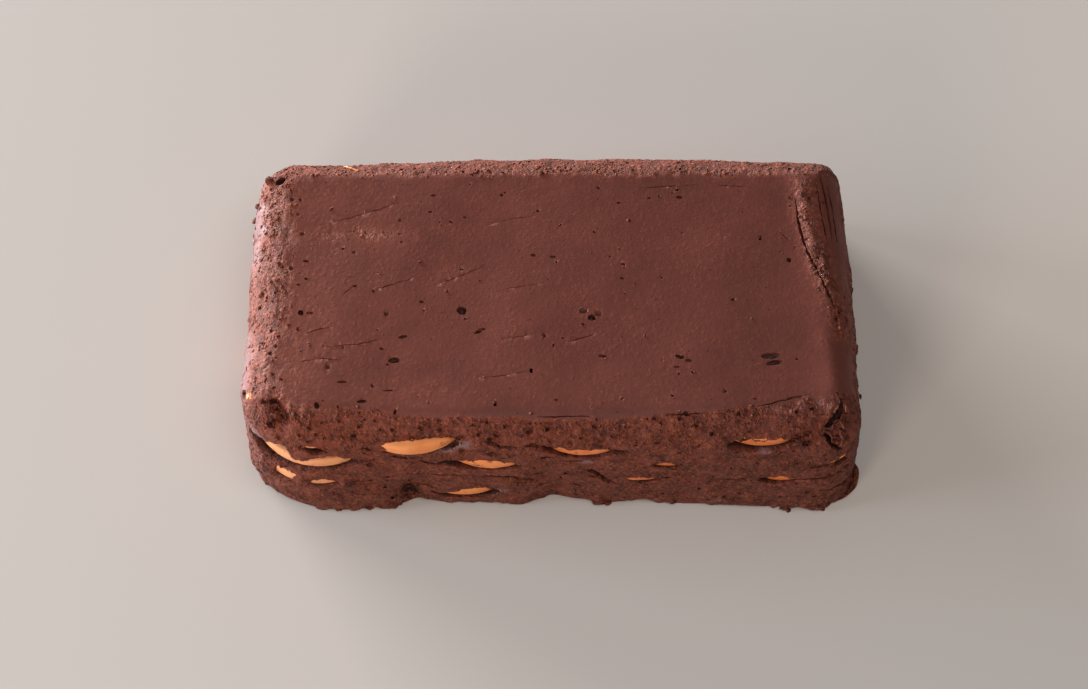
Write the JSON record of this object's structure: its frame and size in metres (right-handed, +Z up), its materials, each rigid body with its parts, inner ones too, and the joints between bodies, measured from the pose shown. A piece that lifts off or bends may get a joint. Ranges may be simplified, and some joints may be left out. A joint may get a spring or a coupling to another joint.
{
  "type": "chocolate icebox cake",
  "caption": "Rectangular block of chilled chocolate cream with rounded edges and round tea biscuits showing at its sides; rests on its flat underside.",
  "frame": {"origin": "middle of the flat face that the cake rests on", "axes": "+Z up, X along the long side, the front with most biscuits showing faces -Y"},
  "size_m": [0.2154, 0.1209, 0.0527],
  "materials": {
    "cream": "chilled chocolate cream: satin top, rougher and porous at the edges",
    "biscuit": "baked tea biscuit, matt with a faint sheen"
  },
  "bodies": {
    "root": {"chocolate_cream": "cream", "biscuit_front_corner_mid": "biscuit", "biscuit_front_corner_low": "biscuit", "biscuit_front_left_top": "biscuit", "biscuit_front_left_mid": "biscuit", "biscuit_front_left_bottom": "biscuit", "biscuit_front_left_low": "biscuit", "biscuit_front_mid_top": "biscuit", "biscuit_front_right_mid": "biscuit", "biscuit_front_right_low": "biscuit", "biscuit_front_right_top": "biscuit", "biscuit_front_end_low": "biscuit", "biscuit_back_corner_top": "biscuit", "biscuit_back_right_low": "biscuit", "biscuit_back_right_top": "biscuit", "biscuit_back_mid_mid": "biscuit", "biscuit_back_left_bottom": "biscuit", "biscuit_back_left_mid": "biscuit", "biscuit_left_front_bottom": "biscuit", "biscuit_right_back_mid": "biscuit", "biscuit_right_back_bottom": "biscuit", "biscuit_bit_front_corner": "biscuit", "biscuit_bit_right_corner": "biscuit", "biscuit_bit_left_wall": "biscuit"}
  },
  "joints": []
}
